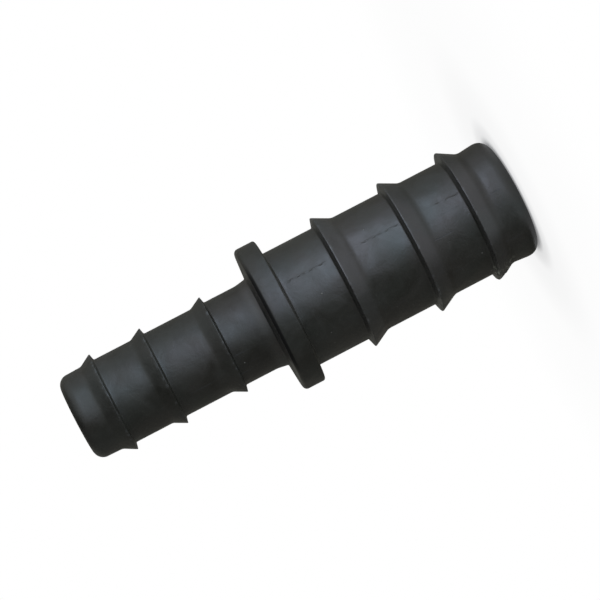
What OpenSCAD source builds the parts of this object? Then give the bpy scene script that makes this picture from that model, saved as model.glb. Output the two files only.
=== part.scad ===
// Barbed reducing connector, moulded in one piece. A wide pipe pushes over the large spigot and
// a narrow one over the small spigot, each as far as the flange, and the barbs hold them.
// It stands on its large end, with Z along the bore towards the small end. Sizes in millimetres.

/* [Large spigot] */
// Length from the end face to the flange
large_len = 31.7; // [30:0.1:42]
// Outside diameter of the plain wall between the barbs
large_root_d = 15.8; // [15.5:0.1:16.6]
// Outside diameter over the crests of the barbs
large_crest_d = 18.2; // [17.6:0.1:19]
// Outside diameter of the swell behind the rounded nose
large_nose_d = 15.9; // [15.6:0.1:16.4]
// Outside diameter of the waist in front of the first barb
large_waist_d = 15.5; // [15.2:0.1:15.8]
// Radius that rounds the nose
large_nose_round = 1.5; // [0.6:0.1:1.6]
// Distance from the end face to the first crest
large_first_crest = 6.3; // [5.6:0.1:7.4]
// Distance from the first crest to the second
large_pitch_1 = 8.3; // [6.5:0.1:9]
// Distance from the second crest to the third
large_pitch_2 = 9.6; // [7.5:0.1:11]
// Length of each barb's slope, on the side that faces the end
large_slope_len = 2.3; // [1.6:0.1:3]
// Length of each barb's back, on the side that faces the flange
large_back_len = 0.4; // [0.2:0.1:1.2]

/* [Small spigot] */
// Length from the end face to the flange
small_len = 27.2; // [27:0.2:36]
// Outside diameter of the plain wall between the barbs
small_root_d = 11.7; // [11.5:0.1:12.2]
// Outside diameter over the crests of the barbs
small_crest_d = 13.4; // [12.8:0.1:14]
// Outside diameter of the wall behind the rounded nose
small_nose_d = 11.5; // [11.3:0.1:11.9]
// Outside diameter of the wall in front of the first barb
small_waist_d = 11.6; // [11.3:0.1:11.9]
// Radius that rounds the nose
small_nose_round = 1.4; // [0.6:0.1:1.5]
// Distance from the end face to the first crest
small_first_crest = 5.1; // [4.4:0.1:5.6]
// Distance from the first crest to the second
small_pitch_1 = 7.1; // [5.5:0.1:8]
// Distance from the second crest to the third
small_pitch_2 = 8.5; // [6.5:0.1:9.5]
// Length of each barb's slope, on the side that faces the end
small_slope_len = 1.6; // [1.2:0.1:2]
// Length of each barb's back, on the side that faces the flange
small_back_len = 0.2; // [0.1:0.1:0.8]
// Length over which the wall widens into the flange
small_flare_len = 1.8; // [0.8:0.1:3]
// How far the wall widens there, on the radius
small_flare = 0.25; // [0.1:0.05:0.6]

/* [Flange] */
// Outside diameter
flange_d = 19.8; // [19.4:0.2:26]
// Thickness
flange_t = 3.1; // [2.2:0.1:4]
// Radius of the rim's corner on the large spigot's side
flange_round_large = 0.7; // [0.1:0.1:0.9]
// Radius of the rim's corner on the small spigot's side
flange_round_small = 0.7; // [0.1:0.1:1.1]

/* [Barbs] */
// Width of the narrow land that each crest ends in
crest_land = 0.15; // [0.1:0.05:0.4]
// Radius of the hollow where a slope leaves the wall
slope_foot_round = 1.2; // [0.5:0.1:2.5]
// Radius of the hollow behind a barb's back
back_foot_round = 0.2; // [0.1:0.05:0.3]

/* [Bore] */
// Diameter through the large spigot
large_bore_d = 11.8; // [9:0.1:12.2]
// Diameter through the small spigot
small_bore_d = 8; // [6:0.1:8.2]
// How far the wide bore stops short of the flange
step_short = 0.5; // [0:0.1:2]
// Angle between the step's slope and the axis
step_angle = 30; // [20:1:60]

/* [Hidden] */
$fn = 180;
total_len = large_len + flange_t + small_len;
large_crests = [
    large_first_crest,
    large_first_crest + large_pitch_1,
    large_first_crest + large_pitch_1 + large_pitch_2
];
small_crests = [
    small_first_crest,
    small_first_crest + small_pitch_1,
    small_first_crest + small_pitch_1 + small_pitch_2
];
step_start = large_len - step_short;
step_len = (large_bore_d - small_bore_d) / 2 / tan(step_angle);
run_in = flange_t / 2;  // how far each spigot's section runs on into the flange
nose_land = 0.3;        // straight wall between the nose's curve and the slope to the waist
cut_over = 1;           // how far the bore's section runs past both end faces
curve_bite = 0.001;     // how far a rounding curve passes through the walls that it joins
curve_over = 0.1;       // how far the sliver outside that curve runs past those walls

// Direction from point a to point b, as a vector one millimetre long
function toward(a, b) = (b - a) / norm(b - a);

// The sliver between the corner at p and the curve of radius r that would round it. The outline
// runs straight from a to the corner and straight on to b, with the solid on its left. The sliver
// runs past both walls, and the curve passes through them by a hair, so that they cross cleanly.
module corner_sliver(p, a, b, r) {
    to_a = toward(p, a);
    to_b = toward(p, b);
    to_centre = toward([0, 0], to_a + to_b);
    half_angle = acos(to_a * to_b) / 2;
    tangent_r = r - curve_bite;
    run = tangent_r / tan(half_angle);
    centre = p + to_centre * tangent_r / sin(half_angle);
    wall_a = p + to_a * run;
    wall_b = p + to_b * run;
    difference() {
        polygon([
            centre,
            wall_b + toward(centre, wall_b) * curve_over,
            p - to_centre * curve_over,
            wall_a + toward(centre, wall_a) * curve_over
        ]);
        translate(centre) circle(r);
    }
}

// Half section of a spigot, as radius and distance from its end face: a rounded nose, then a
// barb at each distance in crests. A barb rises in a long slope from the wall before it to a
// narrow land, and drops behind that in a steep back.
module spigot_section(spigot_len, root_r, crest_r, nose_r, waist_r, nose_round, crests, slope,
        back) {
    half_land = crest_land / 2;
    last = len(crests) - 1;
    nose_corner = [nose_r, 0];
    nose_top = [nose_r, nose_round + nose_land];
    slope_feet = [for (i = [0 : last]) [i == 0 ? waist_r : root_r, crests[i] - half_land - slope]];
    crest_fronts = [for (at = crests) [crest_r, at - half_land]];
    crest_backs = [for (at = crests) [crest_r, at + half_land]];
    back_feet = [for (at = crests) [root_r, at + half_land + back]];
    barbs = [for (i = [0 : last]) each [slope_feet[i], crest_fronts[i], crest_backs[i], back_feet[i]]];
    difference() {
        polygon(concat(
            [[0, 0], nose_corner, nose_top],
            barbs,
            [[root_r, spigot_len + run_in], [0, spigot_len + run_in]]
        ));
        corner_sliver(nose_corner, [0, 0], nose_top, nose_round);
    }
    for (i = [0 : last]) {
        wall_before = i == 0 ? nose_top : back_feet[i - 1];
        wall_after = i == last ? [root_r, spigot_len] : slope_feet[i + 1];
        corner_sliver(slope_feet[i], wall_before, crest_fronts[i], slope_foot_round);
        corner_sliver(back_feet[i], crest_backs[i], wall_after, back_foot_round);
    }
}

module large_spigot_section() {
    spigot_section(large_len, large_root_d / 2, large_crest_d / 2, large_nose_d / 2, large_waist_d / 2,
        large_nose_round, large_crests, large_slope_len, large_back_len);
}

module small_spigot_section() {
    spigot_section(small_len, small_root_d / 2, small_crest_d / 2, small_nose_d / 2, small_waist_d / 2,
        small_nose_round, small_crests, small_slope_len, small_back_len);
    polygon([
        [0, small_len - small_flare_len],
        [small_root_d / 2, small_len - small_flare_len],
        [small_root_d / 2 + small_flare, small_len],
        [small_root_d / 2 + small_flare, small_len + run_in],
        [0, small_len + run_in]
    ]);
}

// Half section of the flange, with the two corners of its rim rounded
module flange_section() {
    rim_low = [flange_d / 2, large_len];
    rim_high = [flange_d / 2, large_len + flange_t];
    difference() {
        translate([0, large_len]) square([flange_d / 2, flange_t]);
        corner_sliver(rim_low, [0, large_len], rim_high, flange_round_large);
        corner_sliver(rim_high, [0, large_len + flange_t], rim_low, flange_round_small);
    }
}

// Half section of the bore: wide, then a sloping step near the flange, then narrow
module bore_section() {
    polygon([
        [0, -cut_over],
        [large_bore_d / 2, -cut_over],
        [large_bore_d / 2, step_start],
        [small_bore_d / 2, step_start + step_len],
        [small_bore_d / 2, total_len + cut_over],
        [0, total_len + cut_over]
    ]);
}

module connector() {
    color([0.17, 0.17, 0.18]) rotate_extrude() difference() {
        union() {
            large_spigot_section();
            flange_section();
            translate([0, total_len]) mirror([0, 1]) small_spigot_section();
        }
        bore_section();
    }
}

connector();
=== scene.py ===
import math

import bpy
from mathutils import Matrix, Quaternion, Vector


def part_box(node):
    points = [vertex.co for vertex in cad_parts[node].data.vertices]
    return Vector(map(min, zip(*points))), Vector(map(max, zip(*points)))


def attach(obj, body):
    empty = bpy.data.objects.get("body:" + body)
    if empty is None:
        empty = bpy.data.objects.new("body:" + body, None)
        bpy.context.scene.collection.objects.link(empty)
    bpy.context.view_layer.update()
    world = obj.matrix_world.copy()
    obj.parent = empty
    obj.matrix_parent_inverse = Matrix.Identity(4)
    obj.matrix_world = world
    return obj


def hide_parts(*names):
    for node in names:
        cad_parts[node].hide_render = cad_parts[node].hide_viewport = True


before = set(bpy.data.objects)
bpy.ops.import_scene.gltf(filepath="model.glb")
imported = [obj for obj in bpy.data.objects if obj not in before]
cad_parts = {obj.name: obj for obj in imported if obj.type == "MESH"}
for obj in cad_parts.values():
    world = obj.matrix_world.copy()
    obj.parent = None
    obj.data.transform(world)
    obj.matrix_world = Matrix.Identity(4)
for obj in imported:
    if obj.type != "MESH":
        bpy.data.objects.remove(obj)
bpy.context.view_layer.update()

bpy.ops.object.select_all(action="DESELECT")


# The connector: a wide and a narrow barbed spigot on either side of a flange, with one bore
# through them. It is one injection moulding of black satin plastic. Here its half section is
# drawn as a wire in the plane through the bore, its corners are rounded, and it is spun.
mm = 0.001
high_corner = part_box("connector")[1]
length = high_corner.z
flange_r = high_corner.x
flange_low = 31.7 * mm
flange_high = 34.8 * mm

large_root_r = 7.9 * mm
large_crest_r = 9.1 * mm
large_nose_r = 7.95 * mm
large_waist_r = 7.75 * mm
large_bore_r = 5.9 * mm
large_slope = 2.3 * mm
large_back = 0.37 * mm
large_crests = [6.3 * mm, 14.6 * mm, 24.2 * mm]

small_root_r = 5.85 * mm
small_crest_r = 6.7 * mm
small_nose_r = 5.75 * mm
small_waist_r = 5.8 * mm
small_bore_r = 4.0 * mm
small_slope = 1.6 * mm
small_back = 0.2 * mm
small_crests = [length - 20.7 * mm, length - 12.2 * mm, length - 5.1 * mm]

half_land = 0.05 * mm
large_foot_round = 1.3 * mm
small_foot_round = 0.8 * mm
back_foot_round = 0.2 * mm
crest_front_round = 0.12 * mm
crest_back_round = 0.035 * mm
step_low = 31.2 * mm
step_high = 34.49 * mm

# Each corner of the section is a radius, a height and the radius that rounds it, from the bore's
# mouth in the large end, up the outside, and back down the bore.
section = [
    (large_bore_r, 0.0, 0.25 * mm),
    (large_nose_r, 0.0, 1.5 * mm),
    (large_nose_r, 1.8 * mm, 3.0 * mm),
]
foot_r = large_waist_r
for crest in large_crests:
    section += [
        (foot_r, crest - half_land - large_slope, large_foot_round),
        (large_crest_r, crest - half_land, crest_front_round),
        (large_crest_r, crest + half_land, crest_back_round),
        (large_root_r, crest + half_land + large_back, back_foot_round),
    ]
    foot_r = large_root_r
section += [
    (large_root_r, flange_low, 0.2 * mm),
    (flange_r, flange_low + 0.2 * mm, 0.3 * mm),
    (flange_r, flange_high, 0.58 * mm),
    (small_root_r + 0.25 * mm, flange_high + 0.32 * mm, 0.28 * mm),
    (small_root_r, flange_high + 1.8 * mm, 4.0 * mm),
]
for crest in small_crests:
    foot_r = small_waist_r if crest == small_crests[-1] else small_root_r
    section += [
        (small_root_r, crest - half_land - small_back, back_foot_round),
        (small_crest_r, crest - half_land, crest_back_round),
        (small_crest_r, crest + half_land, 2 * crest_front_round),
        (foot_r, crest + half_land + small_slope, small_foot_round),
    ]
section += [
    (small_nose_r, length - 1.7 * mm, 3.0 * mm),
    (small_nose_r, length, 1.4 * mm),
    (small_bore_r, length, 0.25 * mm),
    (small_bore_r, step_high, 0.6 * mm),
    (large_bore_r, step_low, 0.6 * mm),
]

# The wire is one point that is extruded from corner to corner and closed at the end.
bpy.ops.mesh.primitive_plane_add(size=mm, location=(section[0][0], 0.0, section[0][1]))
moulding = bpy.context.object
moulding.name = "connector_moulding"
bpy.ops.object.transform_apply(location=True)
bpy.ops.object.mode_set(mode="EDIT")
bpy.context.tool_settings.mesh_select_mode = (True, False, False)
bpy.ops.mesh.merge(type="CENTER")
for here, there in zip(section, section[1:]):
    run = (there[0] - here[0], 0.0, there[1] - here[1])
    bpy.ops.mesh.extrude_region_move(TRANSFORM_OT_translate={"value": run})
bpy.ops.object.mode_set(mode="OBJECT")
for point in moulding.data.vertices:
    point.select = point.index in (0, len(section) - 1)
bpy.ops.object.mode_set(mode="EDIT")
bpy.ops.mesh.edge_face_add()

# Every corner is found again by its place, and bevelled by the length its radius needs.
for i, (corner_r, corner_z, corner_round) in enumerate(section):
    corner = Vector((corner_r, 0.0, corner_z))
    before = section[i - 1]
    after = section[(i + 1) % len(section)]
    to_before = Vector((before[0], 0.0, before[1])) - corner
    to_after = Vector((after[0], 0.0, after[1])) - corner
    turn = math.pi - to_before.angle(to_after)
    tangent = corner_round * math.tan(turn / 2)
    steps = max(3, round(turn / math.radians(10)))
    bpy.ops.object.mode_set(mode="OBJECT")
    nearest = min(moulding.data.vertices, key=lambda point: (point.co - corner).length)
    for edge in moulding.data.edges:
        edge.select = False
    for point in moulding.data.vertices:
        point.select = point.index == nearest.index
    bpy.ops.object.mode_set(mode="EDIT")
    bpy.ops.mesh.bevel(offset=tangent, segments=steps, affect="VERTICES", profile=0.5)

# Runs longer than a given length in millimetres get a given number of cuts, so that the surface
# can be worked on along its length. The last length is for the slope of the bruised barb alone.
bruised_low = 4.1 * mm
bruised_high = 6.8 * mm
for longest, cuts in ((8.0, 9), (3.0, 3), (1.4, 1), (0.7, 1), (0.35, 3)):
    bpy.ops.mesh.select_all(action="DESELECT")
    bpy.ops.object.mode_set(mode="OBJECT")
    for edge in moulding.data.edges:
        ends = [moulding.data.vertices[k].co for k in edge.vertices]
        to_bruise = all(
            co.x > large_root_r - 0.05 * mm and bruised_low < co.z < bruised_high for co in ends
        )
        edge.select = (longest > 0.5 or to_bruise) and (ends[0] - ends[1]).length > longest * mm
    bpy.ops.object.mode_set(mode="EDIT")
    bpy.context.tool_settings.mesh_select_mode = (False, True, False)
    bpy.ops.mesh.subdivide(number_cuts=cuts)

columns = 180
bpy.context.tool_settings.mesh_select_mode = (True, False, False)
bpy.ops.mesh.select_all(action="SELECT")
bpy.ops.mesh.spin(steps=columns, angle=2 * math.pi, center=(0.0, 0.0, 0.0), axis=(0.0, 0.0, 1.0))
bpy.ops.mesh.select_all(action="SELECT")
bpy.ops.mesh.remove_doubles(threshold=0.002 * mm)
bpy.ops.mesh.normals_make_consistent(inside=False)
bpy.ops.object.mode_set(mode="OBJECT")

# The two halves of the mould leave a fine raised line down each side of the spigots. One column
# of edges is cut finer and split in three, and its middle is lifted, more so on the walls behind
# each large barb, where the mould's edges have worn and the line wanders. Lifts and wanders are in
# millimetres, one for each step along the line, and the far side starts further on in the lists.
seam_turn = math.radians(-66)
seam_half_width = 0.11 * mm
large_outside_r = 6.9 * mm
small_outside_r = 5.4 * mm
seam_reach = [
    (2.2 * mm, flange_low - 0.3 * mm, large_outside_r),
    (flange_high + 0.8 * mm, length - 2.0 * mm, small_outside_r),
]
plain_lift = 0.012
worn_reach = [(6.85 * mm, 10.3 * mm), (15.1 * mm, 20.7 * mm), (25.6 * mm, 30.7 * mm)]
worn_step = 0.42 * mm
worn_lifts = [0.03, 0.045, 0.028, 0.045, 0.038, 0.012, 0.042, 0.035, 0.045, 0.024]
worn_wanders = [0.05, -0.04, 0.02, 0.07, -0.06, 0.0, -0.03, 0.06, -0.05, 0.03]
for side in (0, 1):
    turn = seam_turn + side * math.pi
    outwards = Vector((math.cos(turn), math.sin(turn), 0.0))
    bpy.ops.object.mode_set(mode="EDIT")
    bpy.context.tool_settings.mesh_select_mode = (False, True, False)
    bpy.ops.mesh.select_all(action="DESELECT")
    bpy.ops.object.mode_set(mode="OBJECT")
    for edge in moulding.data.edges:
        ends = [moulding.data.vertices[k].co for k in edge.vertices]
        on_line = all((co - outwards * co.dot(outwards)).to_2d().length < 0.001 * mm for co in ends)
        edge.select = on_line and any(
            all(low < co.z < high and co.dot(outwards) > outside_r for co in ends)
            for low, high, outside_r in seam_reach
        )
    bpy.ops.object.mode_set(mode="EDIT")
    bpy.ops.mesh.subdivide(number_cuts=2)
    bpy.ops.mesh.bevel(offset=seam_half_width, segments=2, affect="EDGES", profile=0.5)
    bpy.context.tool_settings.mesh_select_mode = (True, False, False)
    along = Vector((-math.sin(turn), math.cos(turn), 0.0))
    lifts = []
    for low, high, outside_r in seam_reach:
        lifts.append((low + 0.2 * mm, high - 0.2 * mm, plain_lift, 0.0))
    for low, high in worn_reach:
        steps = round((high - low) / worn_step)
        for i in range(steps):
            start = low + (high - low) * i / steps
            pick = (i + 3 * side) % len(worn_lifts)
            end = start + (high - low) / steps
            lifts.append((start, end, worn_lifts[pick], worn_wanders[pick]))
    for low, high, lift, wander in lifts:
        bpy.ops.mesh.select_all(action="DESELECT")
        bpy.ops.object.mode_set(mode="OBJECT")
        for point in moulding.data.vertices:
            if low < point.co.z < high:
                off_line = (point.co - outwards * point.co.dot(outwards)).to_2d().length
                outside_r = large_outside_r if point.co.z < flange_low else small_outside_r
                point.select = off_line < 0.03 * mm and point.co.dot(outwards) > outside_r
        bpy.ops.object.mode_set(mode="EDIT")
        bpy.ops.transform.translate(value=outwards * lift * mm + along * wander * mm)
    bpy.ops.object.mode_set(mode="OBJECT")

# The barb nearest the large end was bruised in handling: over a short arc on the side away from
# the softbox its crest is thickened, pressed in, pushed a little along the bore and blunted. Turns
# are in degrees and lengths in millimetres.
bpy.ops.object.mode_set(mode="EDIT")
bpy.context.tool_settings.mesh_select_mode = (True, False, False)
for bruise_turn, half_arc, least_r, thicker, inwards, upwards, blunting in (
    (-177, 25.0, 8.3, 1.0, 0.0, 0.0, 2),
    (-176, 19.0, 8.75, 1.5, 0.16, -0.06, 1),
    (-178, 16.0, 8.3, 1.0, 0.03, -0.02, 3),
    (-160, 5.0, 8.6, 1.3, 0.1, 0.1, 0),
    (-151, 3.0, 8.6, 1.2, 0.07, 0.04, 0),
    (-176, 24.0, 8.2, 1.0, 0.0, 0.0, 3),
):
    turn = math.radians(bruise_turn)
    bruise_way = Vector((math.cos(turn), math.sin(turn), 0.0))
    bpy.ops.mesh.select_all(action="DESELECT")
    bpy.ops.object.mode_set(mode="OBJECT")
    for point in moulding.data.vertices:
        flat = Vector((point.co.x, point.co.y, 0.0))
        on_barb = -0.9 * mm < point.co.z - large_crests[0] < 0.45 * mm
        if on_barb and flat.length > least_r * mm:
            point.select = flat.angle(bruise_way) < math.radians(half_arc)
    bpy.ops.object.mode_set(mode="EDIT")
    bpy.ops.transform.resize(value=(1.0, 1.0, thicker))
    bpy.ops.transform.translate(
        value=bruise_way * -inwards * mm + Vector((0.0, 0.0, upwards * mm)),
        use_proportional_edit=True, proportional_size=0.4 * mm, proportional_edit_falloff="SMOOTH",
    )
    if blunting > 0:
        bpy.ops.mesh.vertices_smooth(factor=0.5, repeat=blunting)
bpy.ops.object.mode_set(mode="OBJECT")
bpy.ops.object.shade_smooth_by_angle(angle=math.radians(40))

# Satin black: a near-black body under a skin whose gloss is clouded and a little wavy. The large
# barbs are paler, partly rubbed by pipes and partly painted light standing in for the light they
# catch off the floor. The walls have fine scratches, nicked crests and a few specks of dust, pale
# flecks round the bruise are painted glints, and the flange's corner is darkened with painted
# shade.
plastic = bpy.data.materials.new("satin_black_plastic")
plastic.use_nodes = True
tree = plastic.node_tree
shader = tree.nodes["Principled BSDF"]
shader.inputs["IOR"].default_value = 1.5
place = tree.nodes.new("ShaderNodeTexCoord")
apart = tree.nodes.new("ShaderNodeSeparateXYZ")
tree.links.new(place.outputs["Object"], apart.inputs["Vector"])

# Distance from the bore's axis tells the barbs from the walls between them.
sideways = tree.nodes.new("ShaderNodeVectorMath")
sideways.operation = "MULTIPLY"
sideways.inputs[1].default_value = (1.0, 1.0, 0.0)
axis_r = tree.nodes.new("ShaderNodeVectorMath")
axis_r.operation = "LENGTH"
tree.links.new(place.outputs["Object"], sideways.inputs[0])
tree.links.new(sideways.outputs["Vector"], axis_r.inputs[0])
wear_masks = []
for compare, border, from_r, to_r in (
    ("LESS_THAN", flange_low - 0.3 * mm, large_root_r + 0.05 * mm, large_root_r + 0.45 * mm),
    ("LESS_THAN", flange_low - 0.3 * mm, large_crest_r - 0.16 * mm, large_crest_r - 0.02 * mm),
    ("GREATER_THAN", flange_high + 2.5 * mm, small_crest_r - 0.16 * mm, small_crest_r - 0.02 * mm),
):
    raised = tree.nodes.new("ShaderNodeMapRange")
    raised.interpolation_type = "SMOOTHSTEP"
    raised.inputs["From Min"].default_value = from_r
    raised.inputs["From Max"].default_value = to_r
    on_spigot = tree.nodes.new("ShaderNodeMath")
    on_spigot.operation = compare
    on_spigot.inputs[1].default_value = border
    wear_mask = tree.nodes.new("ShaderNodeMath")
    wear_mask.operation = "MULTIPLY"
    tree.links.new(axis_r.outputs["Value"], raised.inputs["Value"])
    tree.links.new(apart.outputs["Z"], on_spigot.inputs[0])
    tree.links.new(raised.outputs["Result"], wear_mask.inputs[0])
    tree.links.new(on_spigot.outputs["Value"], wear_mask.inputs[1])
    wear_masks.append(wear_mask)
# The large barbs' paler colour is partly wear and partly painted light: it stands in for the light
# their slopes catch off the white floor.
rubbed_and_lit = wear_masks[0]
crests = tree.nodes.new("ShaderNodeMath")
crests.operation = "MAXIMUM"
tree.links.new(wear_masks[1].outputs["Value"], crests.inputs[0])
tree.links.new(wear_masks[2].outputs["Value"], crests.inputs[1])

# Painted shade: the flange's face that faces the small spigot is darkened, made duller and hardly
# reflective on the side towards the camera, standing in for the shade in that corner. It is
# strongest on the rim's corner and at the foot of the wall, and weaker on the flat between them.
round_turn = tree.nodes.new("ShaderNodeMath")
round_turn.operation = "DIVIDE"
tree.links.new(apart.outputs["Y"], round_turn.inputs[0])
tree.links.new(axis_r.outputs["Value"], round_turn.inputs[1])
from_flat = tree.nodes.new("ShaderNodeMath")
from_flat.operation = "SUBTRACT"
from_flat.inputs[1].default_value = (small_root_r + flange_r) / 2
off_flat = tree.nodes.new("ShaderNodeMath")
off_flat.operation = "ABSOLUTE"
tree.links.new(axis_r.outputs["Value"], from_flat.inputs[0])
tree.links.new(from_flat.outputs["Value"], off_flat.inputs[0])
painted_corner_shade = None
for place_on, from_place, to_place, thinnest in (
    (round_turn.outputs["Value"], -0.62, -0.86, 0.0),
    (off_flat.outputs["Value"], 1.35 * mm, 1.6 * mm, 0.55),
    (apart.outputs["Z"], flange_high - 0.46 * mm, flange_high - 0.26 * mm, 0.0),
    (apart.outputs["Z"], flange_high + 0.5 * mm, flange_high + 0.2 * mm, 0.0),
):
    corner_shade_edge = tree.nodes.new("ShaderNodeMapRange")
    corner_shade_edge.interpolation_type = "SMOOTHSTEP"
    corner_shade_edge.inputs["From Min"].default_value = from_place
    corner_shade_edge.inputs["From Max"].default_value = to_place
    corner_shade_edge.inputs["To Min"].default_value = thinnest
    tree.links.new(place_on, corner_shade_edge.inputs["Value"])
    within = tree.nodes.new("ShaderNodeMath")
    within.operation = "MULTIPLY"
    within.inputs[0].default_value = 1.0
    if painted_corner_shade is not None:
        tree.links.new(painted_corner_shade.outputs["Value"], within.inputs[0])
    tree.links.new(corner_shade_edge.outputs["Result"], within.inputs[1])
    painted_corner_shade = within

# The flange's rim stands out beyond the crests.
rim = tree.nodes.new("ShaderNodeMapRange")
rim.inputs["From Min"].default_value = large_crest_r + 0.1 * mm
rim.inputs["From Max"].default_value = flange_r - 0.2 * mm
tree.links.new(axis_r.outputs["Value"], rim.inputs["Value"])

# Clouds a few millimetres wide, and finer ones within them.
clouds = tree.nodes.new("ShaderNodeTexNoise")
clouds.inputs["Scale"].default_value = 330.0
clouds.inputs["Detail"].default_value = 4.0
clouds.inputs["Roughness"].default_value = 0.6
clouds.inputs["Distortion"].default_value = 0.6
tree.links.new(place.outputs["Object"], clouds.inputs["Vector"])
patches = tree.nodes.new("ShaderNodeTexNoise")
patches.inputs["Scale"].default_value = 150.0
patches.inputs["Detail"].default_value = 2.0
tree.links.new(place.outputs["Object"], patches.inputs["Vector"])

# Scratches: noise drawn out along the bore, and a slanting set, cut to thin lines in patches.
scratch_sets = []
for slant, least, most in ((7, 0.68, 0.77), (38, 0.69, 0.77)):
    drawn_out = tree.nodes.new("ShaderNodeMapping")
    drawn_out.inputs["Rotation"].default_value = (math.radians(slant), math.radians(slant / 3), 0.0)
    drawn_out.inputs["Scale"].default_value = (2300.0, 2300.0, 120.0)
    lines = tree.nodes.new("ShaderNodeTexNoise")
    lines.inputs["Scale"].default_value = 1.0
    lines.inputs["Detail"].default_value = 1.0
    cut = tree.nodes.new("ShaderNodeMapRange")
    cut.inputs["From Min"].default_value = least
    cut.inputs["From Max"].default_value = most
    tree.links.new(place.outputs["Object"], drawn_out.inputs["Vector"])
    tree.links.new(drawn_out.outputs["Vector"], lines.inputs["Vector"])
    tree.links.new(lines.outputs["Fac"], cut.inputs["Value"])
    scratch_sets.append(cut)
all_scratches = tree.nodes.new("ShaderNodeMath")
all_scratches.operation = "MAXIMUM"
where_scratched = tree.nodes.new("ShaderNodeMapRange")
where_scratched.interpolation_type = "SMOOTHSTEP"
where_scratched.inputs["From Min"].default_value = 0.47
where_scratched.inputs["From Max"].default_value = 0.6
scratches = tree.nodes.new("ShaderNodeMath")
scratches.operation = "MULTIPLY"
tree.links.new(scratch_sets[0].outputs["Result"], all_scratches.inputs[0])
tree.links.new(scratch_sets[1].outputs["Result"], all_scratches.inputs[1])
tree.links.new(patches.outputs["Fac"], where_scratched.inputs["Value"])
tree.links.new(all_scratches.outputs["Value"], scratches.inputs[0])
tree.links.new(where_scratched.outputs["Result"], scratches.inputs[1])

# Specks of dust, one in a few of the cells, and nicks along the crests.
cells = tree.nodes.new("ShaderNodeTexVoronoi")
cells.inputs["Scale"].default_value = 640.0
tree.links.new(place.outputs["Object"], cells.inputs["Vector"])
near_middle = tree.nodes.new("ShaderNodeMapRange")
near_middle.inputs["From Min"].default_value = 0.075
near_middle.inputs["From Max"].default_value = 0.045
cell_pick = tree.nodes.new("ShaderNodeSeparateColor")
picked = tree.nodes.new("ShaderNodeMath")
picked.operation = "GREATER_THAN"
picked.inputs[1].default_value = 0.9
specks = tree.nodes.new("ShaderNodeMath")
specks.operation = "MULTIPLY"
tree.links.new(cells.outputs["Distance"], near_middle.inputs["Value"])
tree.links.new(cells.outputs["Color"], cell_pick.inputs["Color"])
tree.links.new(cell_pick.outputs["Red"], picked.inputs[0])
tree.links.new(near_middle.outputs["Result"], specks.inputs[0])
tree.links.new(picked.outputs["Value"], specks.inputs[1])
nick_noise = tree.nodes.new("ShaderNodeTexNoise")
nick_noise.inputs["Scale"].default_value = 1500.0
nick_noise.inputs["Detail"].default_value = 2.0
tree.links.new(place.outputs["Object"], nick_noise.inputs["Vector"])
nick_cut = tree.nodes.new("ShaderNodeMapRange")
nick_cut.inputs["From Min"].default_value = 0.52
nick_cut.inputs["From Max"].default_value = 0.72
nicks = tree.nodes.new("ShaderNodeMath")
nicks.operation = "MULTIPLY"
tree.links.new(nick_noise.outputs["Fac"], nick_cut.inputs["Value"])
tree.links.new(nick_cut.outputs["Result"], nicks.inputs[0])
tree.links.new(crests.outputs["Value"], nicks.inputs[1])

# Painted glints: pale flecks, in a ball round the bruise, stand in for glints of light off the
# bruised plastic.
from_bruise = tree.nodes.new("ShaderNodeVectorMath")
from_bruise.operation = "DISTANCE"
from_bruise.inputs[1].default_value = (-8.3 * mm, -2.6 * mm, 5.7 * mm)
near_bruise = tree.nodes.new("ShaderNodeMapRange")
near_bruise.interpolation_type = "SMOOTHSTEP"
near_bruise.inputs["From Min"].default_value = 2.8 * mm
near_bruise.inputs["From Max"].default_value = 1.2 * mm
fleck_noise = tree.nodes.new("ShaderNodeTexNoise")
fleck_noise.inputs["Scale"].default_value = 1900.0
fleck_noise.inputs["Detail"].default_value = 1.0
fleck_cut = tree.nodes.new("ShaderNodeMapRange")
fleck_cut.inputs["From Min"].default_value = 0.6
fleck_cut.inputs["From Max"].default_value = 0.66
painted_glints = tree.nodes.new("ShaderNodeMath")
painted_glints.operation = "MULTIPLY"
tree.links.new(place.outputs["Object"], from_bruise.inputs[0])
tree.links.new(from_bruise.outputs["Value"], near_bruise.inputs["Value"])
tree.links.new(place.outputs["Object"], fleck_noise.inputs["Vector"])
tree.links.new(fleck_noise.outputs["Fac"], fleck_cut.inputs["Value"])
tree.links.new(near_bruise.outputs["Result"], painted_glints.inputs[0])
tree.links.new(fleck_cut.outputs["Result"], painted_glints.inputs[1])

# Colour: each mark is laid over the one before it: the barbs' wear and painted light, scratches,
# nicks, dust, painted glints and painted shade.
cloud_ramp = tree.nodes.new("ShaderNodeValToRGB")
cloud_ramp.color_ramp.elements[0].position = 0.3
cloud_ramp.color_ramp.elements[0].color = (0.0103, 0.01, 0.0074, 1.0)
cloud_ramp.color_ramp.elements[1].position = 0.72
cloud_ramp.color_ramp.elements[1].color = (0.0212, 0.0208, 0.017, 1.0)
tree.links.new(clouds.outputs["Fac"], cloud_ramp.inputs["Fac"])
body = cloud_ramp.outputs["Color"]
for mask, colour in (
    (rubbed_and_lit, (0.0195, 0.0196, 0.0178, 1.0)),
    (scratches, (0.023, 0.024, 0.0235, 1.0)),
    (nicks, (0.05, 0.052, 0.052, 1.0)),
    (specks, (0.11, 0.11, 0.1, 1.0)),
    (painted_glints, (0.2, 0.21, 0.17, 1.0)),
    (painted_corner_shade, (0.007, 0.007, 0.0065, 1.0)),
):
    over = tree.nodes.new("ShaderNodeMix")
    over.data_type = "RGBA"
    over.inputs["B"].default_value = colour
    tree.links.new(mask.outputs["Value"], over.inputs["Factor"])
    tree.links.new(body, over.inputs["A"])
    body = over.outputs["Result"]
tree.links.new(body, shader.inputs["Base Color"])
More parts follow.
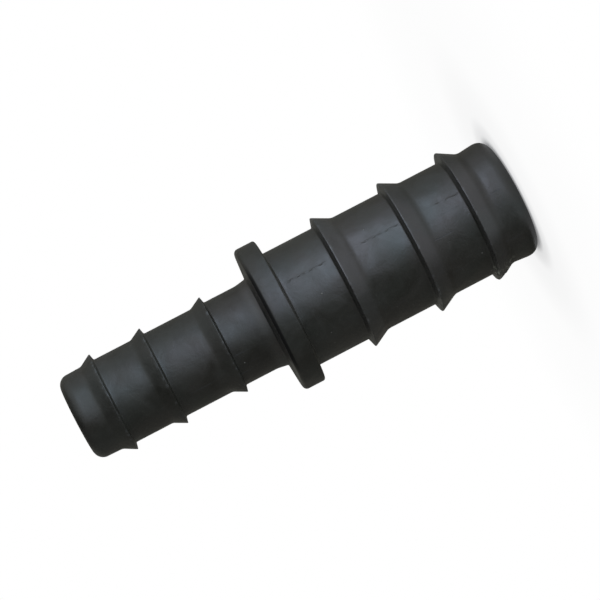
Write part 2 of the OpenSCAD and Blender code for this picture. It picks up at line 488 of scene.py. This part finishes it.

# Gloss: clouded all over, smoother on the paler barbs, and duller where it is scratched, nicked or
# dusty, and in the painted shade on the flange's corner.
cloud_gloss = tree.nodes.new("ShaderNodeMapRange")
cloud_gloss.inputs["From Min"].default_value = 0.3
cloud_gloss.inputs["From Max"].default_value = 0.72
cloud_gloss.inputs["To Min"].default_value = 0.36
cloud_gloss.inputs["To Max"].default_value = 0.57
tree.links.new(clouds.outputs["Fac"], cloud_gloss.inputs["Value"])
gloss = cloud_gloss.outputs["Result"]
for mask, duller in (
    (rubbed_and_lit, -0.03),
    (scratches, 0.11),
    (nicks, 0.15),
    (specks, 0.3),
    (painted_corner_shade, 0.2),
):
    add = tree.nodes.new("ShaderNodeMath")
    add.operation = "MULTIPLY_ADD"
    add.inputs[1].default_value = duller
    tree.links.new(mask.outputs["Value"], add.inputs[0])
    tree.links.new(gloss, add.inputs[2])
    gloss = add.outputs["Value"]
tree.links.new(gloss, shader.inputs["Roughness"])

# The large barbs reflect a little more, as part of the painted light on them, and so does the small
# wall where it widens into the flange, while the rest of that wall reflects less. So does the
# flange's rim, and the painted shade on the flange's corner hardly reflects at all. The whole
# skin's reflection has a faint tint that drifts between blue and violet.
polish = tree.nodes.new("ShaderNodeMapRange")
polish.inputs["To Min"].default_value = 0.5
polish.inputs["To Max"].default_value = 0.64
tree.links.new(rubbed_and_lit.outputs["Value"], polish.inputs["Value"])
flare = tree.nodes.new("ShaderNodeMapRange")
flare.interpolation_type = "SMOOTHSTEP"
flare.inputs["From Min"].default_value = flange_high + 2.2 * mm
flare.inputs["From Max"].default_value = flange_high + 0.9 * mm
flare.inputs["To Max"].default_value = 0.38
tree.links.new(apart.outputs["Z"], flare.inputs["Value"])
small_walls = tree.nodes.new("ShaderNodeMapRange")
small_walls.inputs["From Min"].default_value = length - 4.0 * mm
small_walls.inputs["From Max"].default_value = length - 8.0 * mm
small_walls.inputs["To Max"].default_value = -0.08
tree.links.new(apart.outputs["Z"], small_walls.inputs["Value"])
walls_and_flare = tree.nodes.new("ShaderNodeMath")
walls_and_flare.operation = "ADD"
tree.links.new(flare.outputs["Result"], walls_and_flare.inputs[0])
tree.links.new(small_walls.outputs["Result"], walls_and_flare.inputs[1])
above_flange = tree.nodes.new("ShaderNodeMath")
above_flange.operation = "GREATER_THAN"
above_flange.inputs[1].default_value = flange_high
on_flare = tree.nodes.new("ShaderNodeMath")
on_flare.operation = "MULTIPLY_ADD"
tree.links.new(apart.outputs["Z"], above_flange.inputs[0])
tree.links.new(walls_and_flare.outputs["Value"], on_flare.inputs[0])
tree.links.new(above_flange.outputs["Value"], on_flare.inputs[1])
tree.links.new(polish.outputs["Result"], on_flare.inputs[2])
on_rim = tree.nodes.new("ShaderNodeMath")
on_rim.operation = "MULTIPLY_ADD"
on_rim.inputs[1].default_value = -0.125
tree.links.new(rim.outputs["Result"], on_rim.inputs[0])
tree.links.new(on_flare.outputs["Value"], on_rim.inputs[2])
in_corner_shade = tree.nodes.new("ShaderNodeMath")
in_corner_shade.operation = "MULTIPLY_ADD"
in_corner_shade.inputs[1].default_value = -0.3
in_corner_shade.use_clamp = True
tree.links.new(painted_corner_shade.outputs["Value"], in_corner_shade.inputs[0])
tree.links.new(on_rim.outputs["Value"], in_corner_shade.inputs[2])
tree.links.new(in_corner_shade.outputs["Value"], shader.inputs["Specular IOR Level"])
tint = tree.nodes.new("ShaderNodeValToRGB")
tint.color_ramp.elements[0].position = 0.38
tint.color_ramp.elements[0].color = (0.85, 0.95, 1.0, 1.0)
tint.color_ramp.elements[1].position = 0.62
tint.color_ramp.elements[1].color = (0.95, 0.94, 1.0, 1.0)
tree.links.new(patches.outputs["Fac"], tint.inputs["Fac"])
tree.links.new(tint.outputs["Color"], shader.inputs["Specular Tint"])

# Relief: the skin's slow waves, its clouds, a fine grain, the scratches and the specks, each with
# its depth in millimetres. Scratches go in.
waves = tree.nodes.new("ShaderNodeTexNoise")
waves.inputs["Scale"].default_value = 190.0
waves.inputs["Detail"].default_value = 1.5
tree.links.new(place.outputs["Object"], waves.inputs["Vector"])
grain = tree.nodes.new("ShaderNodeTexNoise")
grain.inputs["Scale"].default_value = 5200.0
grain.inputs["Detail"].default_value = 2.0
tree.links.new(place.outputs["Object"], grain.inputs["Vector"])
relief = None
for height, socket, depth in (
    (waves, "Fac", 0.27),
    (clouds, "Fac", 0.08),
    (grain, "Fac", 0.006),
    (scratches, "Value", -0.008),
    (specks, "Value", 0.02),
):
    bump = tree.nodes.new("ShaderNodeBump")
    bump.inputs["Strength"].default_value = 1.0
    bump.inputs["Distance"].default_value = abs(depth) * mm
    bump.invert = depth < 0
    tree.links.new(height.outputs[socket], bump.inputs["Height"])
    if relief is not None:
        tree.links.new(relief.outputs["Normal"], bump.inputs["Normal"])
    relief = bump
tree.links.new(relief.outputs["Normal"], shader.inputs["Normal"])
moulding.data.materials.append(plastic)

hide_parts("connector")
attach(moulding, "root")


# The floor: a round sheet of white card that the connector stands on. It shows white to the
# camera and in reflections, apart from a share that grows towards the connector, where the card
# itself shows with the connector's soft shadow.
floor_r = 0.08
bpy.ops.object.select_all(action="DESELECT")
bpy.ops.mesh.primitive_circle_add(
    vertices=96, radius=floor_r, fill_type="NGON", location=(0.0, 0.0, 0.0)
)
floor = bpy.context.object
floor.name = "white_floor"
floor_card = bpy.data.materials.new("white_card")
floor_card.use_nodes = True
tree = floor_card.node_tree
card = tree.nodes["Principled BSDF"]
card.inputs["Base Color"].default_value = (0.9, 0.9, 0.9, 1.0)
card.inputs["Roughness"].default_value = 0.8
card.inputs["Specular IOR Level"].default_value = 0.2
glow = tree.nodes.new("ShaderNodeEmission")
glow.inputs["Color"].default_value = (1.0, 1.0, 1.0, 1.0)
glow.inputs["Strength"].default_value = 1.0
path = tree.nodes.new("ShaderNodeLightPath")
seen = tree.nodes.new("ShaderNodeMath")
seen.operation = "MAXIMUM"
seen_through = tree.nodes.new("ShaderNodeMath")
seen_through.operation = "MAXIMUM"
place = tree.nodes.new("ShaderNodeTexCoord")
reach = tree.nodes.new("ShaderNodeVectorMath")
reach.operation = "LENGTH"
fade = tree.nodes.new("ShaderNodeMapRange")
fade.inputs["From Max"].default_value = 0.07
fade_ramp = tree.nodes.new("ShaderNodeValToRGB")
fade_ramp.color_ramp.interpolation = "EASE"
least_glow = 0.22
for stop, level in ((0.1, least_glow), (0.123, 0.7), (0.165, 0.88), (0.35, 0.96)):
    fade_stop = fade_ramp.color_ramp.elements.new(stop)
    fade_stop.color = (level, level, level, 1.0)
fade_ramp.color_ramp.elements[0].color = (least_glow, least_glow, least_glow, 1.0)
fade_ramp.color_ramp.elements[-1].color = (1.0, 1.0, 1.0, 1.0)
share = tree.nodes.new("ShaderNodeMath")
share.operation = "MULTIPLY"
both = tree.nodes.new("ShaderNodeMixShader")
tree.links.new(path.outputs["Is Camera Ray"], seen.inputs[0])
tree.links.new(path.outputs["Is Glossy Ray"], seen.inputs[1])
tree.links.new(seen.outputs["Value"], seen_through.inputs[0])
tree.links.new(path.outputs["Is Transmission Ray"], seen_through.inputs[1])
tree.links.new(place.outputs["Object"], reach.inputs[0])
tree.links.new(reach.outputs["Value"], fade.inputs["Value"])
tree.links.new(seen_through.outputs["Value"], share.inputs[0])
tree.links.new(fade.outputs["Result"], fade_ramp.inputs["Fac"])
tree.links.new(fade_ramp.outputs["Color"], share.inputs[1])
tree.links.new(share.outputs["Value"], both.inputs["Fac"])
tree.links.new(card.outputs["BSDF"], both.inputs[1])
tree.links.new(glow.outputs["Emission"], both.inputs[2])
tree.links.new(both.outputs["Shader"], tree.nodes["Material Output"].inputs["Surface"])
floor.data.materials.append(floor_card)


# The room: dim and even as a light, and plain white where the camera or a reflection sees it.
room = bpy.data.worlds.new("white_room")
bpy.context.scene.world = room
room.use_nodes = True
tree = room.node_tree
dim = tree.nodes["Background"]
dim.inputs["Color"].default_value = (0.97, 0.98, 1.0, 1.0)
dim.inputs["Strength"].default_value = 0.4
white = tree.nodes.new("ShaderNodeBackground")
white.inputs["Color"].default_value = (1.0, 1.0, 1.0, 1.0)
white.inputs["Strength"].default_value = 1.0
path = tree.nodes.new("ShaderNodeLightPath")
seen = tree.nodes.new("ShaderNodeMath")
seen.operation = "MAXIMUM"
seen_through = tree.nodes.new("ShaderNodeMath")
seen_through.operation = "MAXIMUM"
either = tree.nodes.new("ShaderNodeMixShader")
tree.links.new(path.outputs["Is Camera Ray"], seen.inputs[0])
tree.links.new(path.outputs["Is Glossy Ray"], seen.inputs[1])
tree.links.new(seen.outputs["Value"], seen_through.inputs[0])
tree.links.new(path.outputs["Is Transmission Ray"], seen_through.inputs[1])
tree.links.new(seen_through.outputs["Value"], either.inputs["Fac"])
tree.links.new(dim.outputs["Background"], either.inputs[1])
tree.links.new(white.outputs["Background"], either.inputs[2])
tree.links.new(either.outputs["Shader"], tree.nodes["World Output"].inputs["Surface"])


# The softbox: one large soft lamp to the right of the camera and lower than it. The connector
# sees its upper part over the floor's edge.
softbox_turn = math.radians(36)
softbox_rise = math.radians(-18)
softbox_far = 0.45
softbox_width = 0.5
softbox_height = 0.32
softbox_glow = 2.45
softbox_aim = Vector((0.0, 0.0, 0.03))
softbox_way = Vector((
    math.sin(softbox_turn) * math.cos(softbox_rise),
    -math.cos(softbox_turn) * math.cos(softbox_rise),
    math.sin(softbox_rise),
))
bpy.ops.object.light_add(type="AREA", location=softbox_aim + softbox_way * softbox_far)
softbox = bpy.context.object
softbox.name = "softbox"
softbox.data.shape = "RECTANGLE"
softbox.data.size = softbox_width
softbox.data.size_y = softbox_height
softbox.data.energy = softbox_glow * math.pi * softbox_width * softbox_height
softbox.data.color = (0.85, 0.97, 1.14)
softbox.rotation_mode = "QUATERNION"
softbox.rotation_quaternion = softbox_way.to_track_quat("Z", "Y")
softbox.visible_camera = False


# The low strip: a narrow lamp close to the floor, which lights the large end as the softbox, whose
# lower part the floor hides there, lights the rest.
strip_turn = math.radians(38)
strip_far = 0.09
strip_width = 0.12
strip_height = 0.014
strip_glow = 5.5
strip_place = Vector((
    math.sin(strip_turn) * strip_far,
    -math.cos(strip_turn) * strip_far,
    0.011,
))
bpy.ops.object.light_add(type="AREA", location=strip_place)
low_strip = bpy.context.object
low_strip.name = "low_strip"
low_strip.data.shape = "RECTANGLE"
low_strip.data.size = strip_width
low_strip.data.size_y = strip_height
low_strip.data.energy = strip_glow * math.pi * strip_width * strip_height
low_strip.data.color = (0.85, 0.97, 1.14)
low_strip.rotation_mode = "QUATERNION"
low_strip.rotation_quaternion = Vector((strip_place.x, strip_place.y, 0.0)).to_track_quat("Z", "Y")
low_strip.visible_camera = False


# The grey screen: a tall drum of grey card round the connector, with a bottom just over the floor
# and a dark lid, which only the plastic's gloss sees. It is open towards the softbox, with soft
# edges, and keeps the other side dark.
screen_hole_r = 8.2 * mm
screen_r = 0.24
screen_top = 0.34
bpy.ops.object.select_all(action="DESELECT")
bpy.ops.mesh.primitive_circle_add(
    vertices=96, radius=screen_hole_r, fill_type="NOTHING", location=(0.0, 0.0, 0.1 * mm)
)
grey_screen = bpy.context.object
grey_screen.name = "grey_screen"
bpy.ops.object.transform_apply(location=True)
bpy.ops.object.mode_set(mode="EDIT")
bpy.ops.mesh.extrude_region_move()
bpy.ops.transform.resize(value=(screen_r / screen_hole_r, screen_r / screen_hole_r, 1.0))
bpy.ops.mesh.extrude_region_move(TRANSFORM_OT_translate={"value": (0.0, 0.0, screen_top)})
bpy.ops.mesh.edge_face_add()
bpy.ops.object.mode_set(mode="OBJECT")
grey_card = bpy.data.materials.new("grey_card")
grey_card.use_nodes = True
tree = grey_card.node_tree
card = tree.nodes["Principled BSDF"]
card.inputs["Roughness"].default_value = 1.0
shade = tree.nodes.new("ShaderNodeMix")
shade.data_type = "RGBA"
shade.inputs["A"].default_value = (0.38, 0.36, 0.3, 1.0)
shade.inputs["B"].default_value = (0.06, 0.06, 0.06, 1.0)
place = tree.nodes.new("ShaderNodeTexCoord")
apart = tree.nodes.new("ShaderNodeSeparateXYZ")
reach = tree.nodes.new("ShaderNodeVectorMath")
reach.operation = "LENGTH"
back = tree.nodes.new("ShaderNodeMath")
back.operation = "MULTIPLY"
back.inputs[1].default_value = -1.0
azimuth = tree.nodes.new("ShaderNodeMath")
azimuth.operation = "ARCTAN2"
sides = tree.nodes.new("ShaderNodeMath")
sides.operation = "MAXIMUM"
above = tree.nodes.new("ShaderNodeMath")
above.operation = "GREATER_THAN"
above.inputs[1].default_value = screen_top - 1.0 * mm
solid = tree.nodes.new("ShaderNodeMath")
solid.operation = "MAXIMUM"
clear = tree.nodes.new("ShaderNodeBsdfTransparent")
both = tree.nodes.new("ShaderNodeMixShader")
tree.links.new(place.outputs["Object"], apart.inputs["Vector"])
tree.links.new(place.outputs["Object"], reach.inputs[0])
tree.links.new(apart.outputs["Y"], back.inputs[0])
tree.links.new(apart.outputs["X"], azimuth.inputs[0])
tree.links.new(back.outputs["Value"], azimuth.inputs[1])
tree.links.new(apart.outputs["Z"], above.inputs[0])
tree.links.new(sides.outputs["Value"], solid.inputs[0])
tree.links.new(above.outputs["Value"], solid.inputs[1])
tree.links.new(above.outputs["Value"], shade.inputs["Factor"])
tree.links.new(shade.outputs["Result"], card.inputs["Base Color"])
tree.links.new(solid.outputs["Value"], both.inputs["Fac"])
tree.links.new(clear.outputs["BSDF"], both.inputs[1])
tree.links.new(card.outputs["BSDF"], both.inputs[2])
tree.links.new(both.outputs["Shader"], tree.nodes["Material Output"].inputs["Surface"])

# The opening's left edge and right edge, as turns in degrees from the camera. Each has one turn up
# to the near radius and another from the far radius on, so that the slopes, which reflect the
# screen's bottom, see another arc open than the walls, which reflect the drum.
for i, (near_r, far_r, near_turn, far_turn, half_fade, grey_left, grey_right) in enumerate((
    (0.012, 0.09, -35, -11, 14, 1.0, 0.0),
    (0.022, 0.045, 67, 105, 30, 0.0, 1.0),
)):
    edge = tree.nodes.new("ShaderNodeMapRange")
    edge.inputs["From Min"].default_value = near_r
    edge.inputs["From Max"].default_value = far_r
    edge.inputs["To Min"].default_value = math.radians(near_turn)
    edge.inputs["To Max"].default_value = math.radians(far_turn)
    past_edge = tree.nodes.new("ShaderNodeMath")
    past_edge.operation = "SUBTRACT"
    edge_fade = tree.nodes.new("ShaderNodeMapRange")
    edge_fade.interpolation_type = "SMOOTHSTEP"
    edge_fade.inputs["From Min"].default_value = math.radians(-half_fade)
    edge_fade.inputs["From Max"].default_value = math.radians(half_fade)
    edge_fade.inputs["To Min"].default_value = grey_left
    edge_fade.inputs["To Max"].default_value = grey_right
    tree.links.new(reach.outputs["Value"], edge.inputs["Value"])
    tree.links.new(azimuth.outputs["Value"], past_edge.inputs[0])
    tree.links.new(edge.outputs["Result"], past_edge.inputs[1])
    tree.links.new(past_edge.outputs["Value"], edge_fade.inputs["Value"])
    tree.links.new(edge_fade.outputs["Result"], sides.inputs[i])
grey_screen.data.materials.append(grey_card)
grey_screen.visible_camera = False
grey_screen.visible_diffuse = False
grey_screen.visible_transmission = False
grey_screen.visible_shadow = False


# The overhead lamp: a soft panel above and to the right, which lights the floor and the connector
# from above and isn't seen in the plastic's gloss.
overhead_place = Vector((0.22, -0.12, 0.5))
overhead_way = (overhead_place - softbox_aim).normalized()
overhead_glow = 0.55
bpy.ops.object.light_add(type="AREA", location=overhead_place)
overhead = bpy.context.object
overhead.name = "overhead_lamp"
overhead.data.shape = "SQUARE"
overhead.data.size = 0.4
overhead.data.energy = overhead_glow * math.pi * overhead_place.length ** 2
overhead.rotation_mode = "QUATERNION"
overhead.rotation_quaternion = overhead_way.to_track_quat("Z", "Y")
overhead.visible_camera = False
overhead.visible_glossy = False


# The camera: level with the connector's upper half, looking three degrees down, and rolled so
# that the standing connector lies across the picture with its large end at the upper right.
camera_aim = Vector((0.52 * mm, 0.0, 30.1 * mm))
camera_far = 311.6 * mm
camera_dip = math.radians(3.0)
camera_roll = math.radians(-117.5)
camera_way = Vector((0.0, -math.cos(camera_dip), math.sin(camera_dip)))
bpy.ops.object.camera_add(location=camera_aim + camera_way * camera_far)
camera = bpy.context.object
camera.name = "camera"
camera.data.sensor_width = 36.0
camera.data.lens = 147.8
camera.data.clip_start = 0.01
camera.data.clip_end = 10.0
camera.rotation_mode = "QUATERNION"
level = camera_way.to_track_quat("Z", "Y")
camera.rotation_quaternion = level @ Quaternion((0.0, 0.0, 1.0), camera_roll)
bpy.context.scene.camera = camera

bpy.context.scene.view_settings.view_transform = "Standard"
